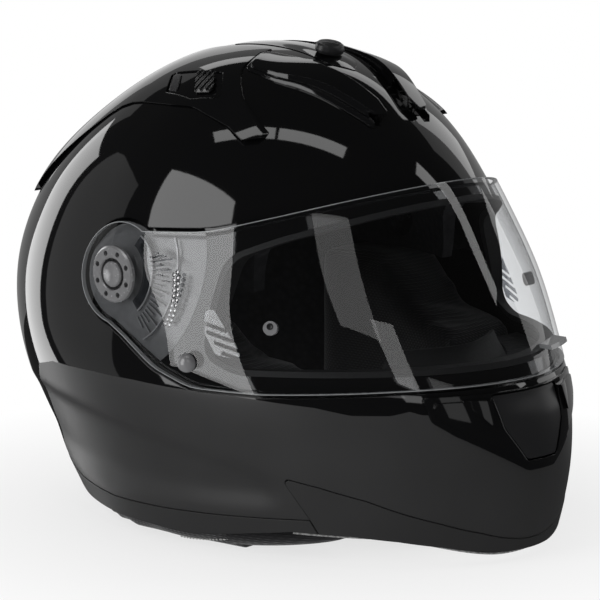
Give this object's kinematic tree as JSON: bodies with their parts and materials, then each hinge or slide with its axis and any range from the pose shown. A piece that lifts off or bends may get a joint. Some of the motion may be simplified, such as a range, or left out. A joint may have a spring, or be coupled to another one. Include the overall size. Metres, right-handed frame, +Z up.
{
  "type": "full-face motorcycle helmet",
  "caption": "Full-face motorcycle helmet with a lifting clear visor, drop-down sun shield, opening chin vent, crown vents, padded liner and buckled chin strap.",
  "frame": {"origin": "bottom centre of the bounding box, on the surface that the helmet stands on", "axes": "+Z up, -Y the way the wearer looks, -X the wearer's right; the centre plane is X = 0"},
  "size_m": [0.2536, 0.3371, 0.2551],
  "materials": {
    "gloss_shell": "high-gloss lacquer",
    "matte_shell": "soft matte lacquer",
    "satin_plastic": "satin moulded",
    "visor_clear": "clear polycarbonate",
    "sun_tint": "smoked polycarbonate",
    "mechanism_grey": "semi-translucent moulded",
    "foam": "beaded foam",
    "comfort_fabric": "brushed knit",
    "curtain_fabric": "fine mesh",
    "webbing": "woven webbing",
    "rubber": "matte",
    "steel": "brushed"
  },
  "bodies": {
    "helmet": {"breath_deflector": "rubber", "buckle_body": "steel", "buckle_tongue": "steel", "cheek_pad_left": "comfort_fabric", "cheek_pad_right": "comfort_fabric", "chin_curtain": "curtain_fabric", "chin_eps": "foam", "chin_strap_left": "webbing", "chin_strap_right": "webbing", "chin_vent_frame": "gloss_shell", "chin_vent_hinge_pin": "steel", "chin_vent_mesh": "satin_plastic", "crown_pad": "comfort_fabric", "detent_rack_left": "mechanism_grey", "detent_rack_right": "mechanism_grey", "eps_liner": "foam", "exhaust_grille_left": "satin_plastic", "exhaust_grille_right": "satin_plastic", "eye_port_gasket": "rubber", "lower_trim_front": "matte_shell", "lower_trim_rear": "matte_shell", "neck_roll": "comfort_fabric", "outer_shell": "gloss_shell", "rear_spoiler": "gloss_shell", "sun_shield_pivot_left": "steel", "sun_shield_pivot_right": "steel", "sun_shield_track": "satin_plastic", "top_vent_scoop_left": "gloss_shell", "top_vent_scoop_right": "gloss_shell", "visor_base_plate_left": "mechanism_grey", "visor_base_plate_right": "mechanism_grey"},
    "visor": {"visor": "visor_clear", "visor_tab": "visor_clear", "visor_pivot_ring_right": "mechanism_grey", "visor_pivot_ring_left": "mechanism_grey", "pinlock_pin_right": "mechanism_grey", "pinlock_pin_left": "mechanism_grey", "visor_stud_right": "mechanism_grey", "visor_stud_left": "mechanism_grey"},
    "sun_shield": {"sun_shield": "sun_tint"},
    "sun_shield_knob": {"sun_shield_knob": "satin_plastic"},
    "chin_vent_shutter": {"chin_vent_shutter": "satin_plastic"},
    "top_vent_slider_right": {"top_vent_slider_right": "satin_plastic"},
    "top_vent_slider_left": {"top_vent_slider_left": "satin_plastic"},
    "release_button_right": {"release_button_right": "mechanism_grey"},
    "release_button_left": {"release_button_left": "mechanism_grey"},
    "buckle_lever": {"buckle_lever": "steel"}
  },
  "joints": [
    {"name": "visor_hinge", "type": "hinge", "parent": "helmet", "child": "visor", "pos_m": [0, 0.013, 0.141], "axis": [-1, 0, 0], "range_deg": [0, 40]},
    {"name": "sun_shield_hinge", "type": "hinge", "parent": "helmet", "child": "sun_shield", "pos_m": [0, 0.005, 0.15], "axis": [1, 0, 0], "range_deg": [0, 45]},
    {"name": "sun_shield_knob_travel", "type": "hinge", "parent": "helmet", "child": "sun_shield_knob", "pos_m": [0, 0.014, 0.095], "axis": [-1, 0, 0], "range_deg": [0, 12.6]},
    {"name": "chin_vent_hinge", "type": "hinge", "parent": "helmet", "child": "chin_vent_shutter", "pos_m": [0, -0.1623, 0.0562], "axis": [-1, 0, 0], "range_deg": [0, 12]},
    {"name": "top_vent_slide_right", "type": "slide", "parent": "helmet", "child": "top_vent_slider_right", "axis": [0, 1, 0], "range_m": [0, 0.008]},
    {"name": "top_vent_slide_left", "type": "slide", "parent": "helmet", "child": "top_vent_slider_left", "axis": [0, 1, 0], "range_m": [0, 0.008]},
    {"name": "release_press_right", "type": "slide", "parent": "helmet", "child": "release_button_right", "axis": [1, 0, 0], "range_m": [0, 0.0012], "stiffness_N_per_m": 600, "springref_m": -0.0005},
    {"name": "release_press_left", "type": "slide", "parent": "helmet", "child": "release_button_left", "axis": [-1, 0, 0], "range_m": [0, 0.0012], "stiffness_N_per_m": 600, "springref_m": -0.0005},
    {"name": "buckle_lever_hinge", "type": "hinge", "parent": "helmet", "child": "buckle_lever", "pos_m": [-0.034, -0.006, 0.0126], "axis": [0, -1, 0], "range_deg": [0, 35], "stiffness_Nm_per_rad": 0.05, "springref_deg": -5.73}
  ],
  "couplings": [
    {"joint": "sun_shield_knob_travel", "follows": "sun_shield_hinge", "ratio": 0.28}
  ]
}
